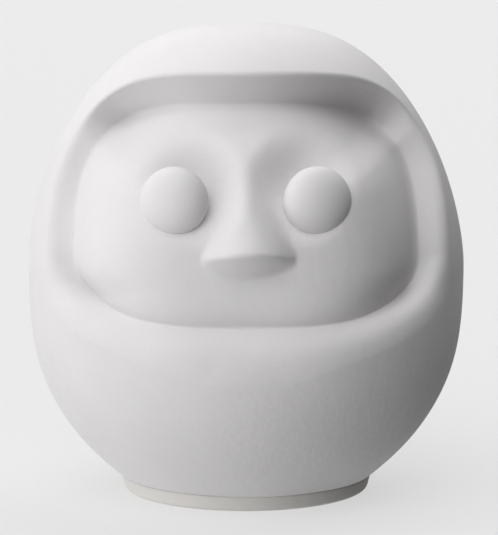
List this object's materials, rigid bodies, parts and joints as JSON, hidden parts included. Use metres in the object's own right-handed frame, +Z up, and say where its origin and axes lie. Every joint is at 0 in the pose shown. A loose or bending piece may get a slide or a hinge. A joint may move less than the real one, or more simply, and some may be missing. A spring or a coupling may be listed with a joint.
{
  "type": "daruma doll",
  "caption": "Hollow round ceramic doll with an arched hood round a recessed face, ball eyes, a wedge nose and a flat foot disc with a vent stopper.",
  "frame": {"origin": "on the ground under the middle of the foot disc", "axes": "+Z up through the crown, the face looks along -Y, +X is the doll's own left"},
  "size_m": [0.1024, 0.102, 0.11],
  "materials": {
    "bisque_body": "unglazed matte white bisque",
    "bisque_eyes": "unglazed matte white bisque, smoothed",
    "bisque_foot": "unglazed matte bisque, slightly warmer and sponged",
    "stopper_rubber": "soft matte moulded rubber"
  },
  "bodies": {
    "doll": {"body_shell": "bisque_body", "left_eyeball": "bisque_eyes", "right_eyeball": "bisque_eyes", "base_disc": "bisque_foot"},
    "stopper": {"base_stopper": "stopper_rubber"}
  },
  "joints": [
    {"name": "stopper_pull", "type": "slide", "parent": "doll", "child": "stopper", "axis": [0, 0, -1], "range_m": [0, 0.016]}
  ]
}
